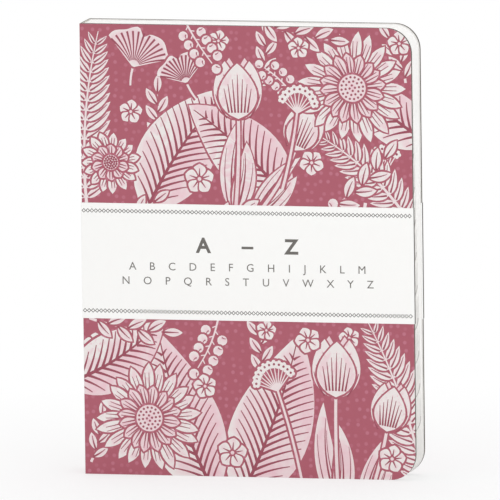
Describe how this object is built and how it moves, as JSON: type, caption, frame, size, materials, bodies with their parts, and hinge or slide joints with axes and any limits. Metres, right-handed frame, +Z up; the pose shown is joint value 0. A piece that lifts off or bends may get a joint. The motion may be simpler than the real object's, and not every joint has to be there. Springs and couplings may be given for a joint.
{
  "type": "address book",
  "caption": "Upright pocket address book with printed board covers, round fore-edge corners, a stepped letter index under the front cover and a paper band tucked round the covers.",
  "frame": {"origin": "middle of the tail edge, on the surface that the book stands on", "axes": "+Z up to the head, +X to the fore-edge, +Y from the front cover through to the back cover"},
  "size_m": [0.1124, 0.0152, 0.15],
  "materials": {
    "cover_paper": "matt laminate",
    "grey_board": "cut grey board",
    "endpaper": "uncoated",
    "lining_card": "grey lining card",
    "thread": "linen thread",
    "leaf_paper": "uncoated",
    "band_paper": "uncoated"
  },
  "bodies": {
    "back_half": {"spine_paper_back": "cover_paper", "spine_lining_back": "lining_card", "sewing_thread_back": "thread", "index_section_yz": "leaf_paper"},
    "front_half": {"spine_paper_front": "cover_paper", "spine_lining_front": "lining_card", "sewing_thread_front": "thread", "index_section_ab": "leaf_paper"},
    "front_cover": {"front_cover_paper": "cover_paper", "front_cover_board": "grey_board", "front_endpaper": "endpaper"},
    "back_cover": {"back_cover_paper": "cover_paper", "back_cover_board": "grey_board", "back_endpaper": "endpaper"},
    "band_front": {"band_front": "band_paper"},
    "band_spine_front": {"band_spine_front": "band_paper"},
    "band_spine_back": {"band_spine_back": "band_paper"},
    "band_back": {"band_back": "band_paper"},
    "section_cd": {"index_section_cd": "leaf_paper"},
    "section_ef": {"index_section_ef": "leaf_paper"},
    "section_gh": {"index_section_gh": "leaf_paper"},
    "section_ij": {"index_section_ij": "leaf_paper"},
    "section_kl": {"index_section_kl": "leaf_paper"},
    "section_mn": {"index_section_mn": "leaf_paper"},
    "section_op": {"index_section_op": "leaf_paper"},
    "section_qr": {"index_section_qr": "leaf_paper"},
    "section_st": {"index_section_st": "leaf_paper"},
    "section_uv": {"index_section_uv": "leaf_paper"},
    "section_wx": {"index_section_wx": "leaf_paper"}
  },
  "joints": [
    {"name": "book_opening", "type": "hinge", "parent": "back_half", "child": "front_half", "pos_m": [-0.05625, -0.00042, 0], "axis": [0, 0, 1], "range_deg": [-140, 0]},
    {"name": "front_cover_hinge", "type": "hinge", "parent": "front_half", "child": "front_cover", "pos_m": [-0.05625, -0.00762, 0], "axis": [0, 0, -1], "range_deg": [0, 140]},
    {"name": "back_cover_hinge", "type": "hinge", "parent": "back_half", "child": "back_cover", "pos_m": [-0.05625, 0.00762, 0], "axis": [0, 0, 1], "range_deg": [0, 80]},
    {"name": "band_slide", "type": "slide", "parent": "front_cover", "child": "band_front", "axis": [0, 0, 1], "range_m": [0, 0.1]},
    {"name": "fan_cd", "type": "hinge", "parent": "front_half", "child": "section_cd", "pos_m": [-0.05513, -0.00376, 0], "axis": [0, 0, 1], "range_deg": [0, 3]},
    {"name": "fan_ef", "type": "hinge", "parent": "front_half", "child": "section_ef", "pos_m": [-0.05513, -0.00293, 0], "axis": [0, 0, 1], "range_deg": [0, 6]},
    {"name": "fan_gh", "type": "hinge", "parent": "front_half", "child": "section_gh", "pos_m": [-0.05513, -0.0021, 0], "axis": [0, 0, 1], "range_deg": [0, 9]},
    {"name": "fan_ij", "type": "hinge", "parent": "front_half", "child": "section_ij", "pos_m": [-0.05513, -0.00127, 0], "axis": [0, 0, 1], "range_deg": [0, 12]},
    {"name": "fan_kl", "type": "hinge", "parent": "front_half", "child": "section_kl", "pos_m": [-0.05513, -0.00044, 0], "axis": [0, 0, 1], "range_deg": [0, 15]},
    {"name": "fan_mn", "type": "hinge", "parent": "back_half", "child": "section_mn", "pos_m": [-0.05513, -0.00039, 0], "axis": [0, 0, -1], "range_deg": [0, 18]},
    {"name": "fan_op", "type": "hinge", "parent": "back_half", "child": "section_op", "pos_m": [-0.05513, 0.00044, 0], "axis": [0, 0, -1], "range_deg": [0, 15]},
    {"name": "fan_qr", "type": "hinge", "parent": "back_half", "child": "section_qr", "pos_m": [-0.05513, 0.00127, 0], "axis": [0, 0, -1], "range_deg": [0, 12]},
    {"name": "fan_st", "type": "hinge", "parent": "back_half", "child": "section_st", "pos_m": [-0.05513, 0.0021, 0], "axis": [0, 0, -1], "range_deg": [0, 9]},
    {"name": "fan_uv", "type": "hinge", "parent": "back_half", "child": "section_uv", "pos_m": [-0.05513, 0.00293, 0], "axis": [0, 0, -1], "range_deg": [0, 6]},
    {"name": "fan_wx", "type": "hinge", "parent": "back_half", "child": "section_wx", "pos_m": [-0.05513, 0.00376, 0], "axis": [0, 0, -1], "range_deg": [0, 3]},
    {"name": "slide_band_spine_front", "type": "slide", "parent": "front_half", "child": "band_spine_front", "axis": [0, 0, 1], "range_m": [0, 0.1]},
    {"name": "slide_band_spine_back", "type": "slide", "parent": "back_half", "child": "band_spine_back", "axis": [0, 0, 1], "range_m": [0, 0.1]},
    {"name": "slide_band_back", "type": "slide", "parent": "back_cover", "child": "band_back", "axis": [0, 0, 1], "range_m": [0, 0.1]}
  ],
  "couplings": [
    {"joint": "fan_cd", "follows": "book_opening", "ratio": -0.021429},
    {"joint": "fan_ef", "follows": "book_opening", "ratio": -0.042857},
    {"joint": "fan_gh", "follows": "book_opening", "ratio": -0.064286},
    {"joint": "fan_ij", "follows": "book_opening", "ratio": -0.085714},
    {"joint": "fan_kl", "follows": "book_opening", "ratio": -0.10714},
    {"joint": "fan_mn", "follows": "book_opening", "ratio": -0.12857},
    {"joint": "fan_op", "follows": "book_opening", "ratio": -0.10714},
    {"joint": "fan_qr", "follows": "book_opening", "ratio": -0.085714},
    {"joint": "fan_st", "follows": "book_opening", "ratio": -0.064286},
    {"joint": "fan_uv", "follows": "book_opening", "ratio": -0.042857},
    {"joint": "fan_wx", "follows": "book_opening", "ratio": -0.021429},
    {"joint": "slide_band_spine_front", "follows": "band_slide", "ratio": 1},
    {"joint": "slide_band_spine_back", "follows": "band_slide", "ratio": 1},
    {"joint": "slide_band_back", "follows": "band_slide", "ratio": 1}
  ]
}
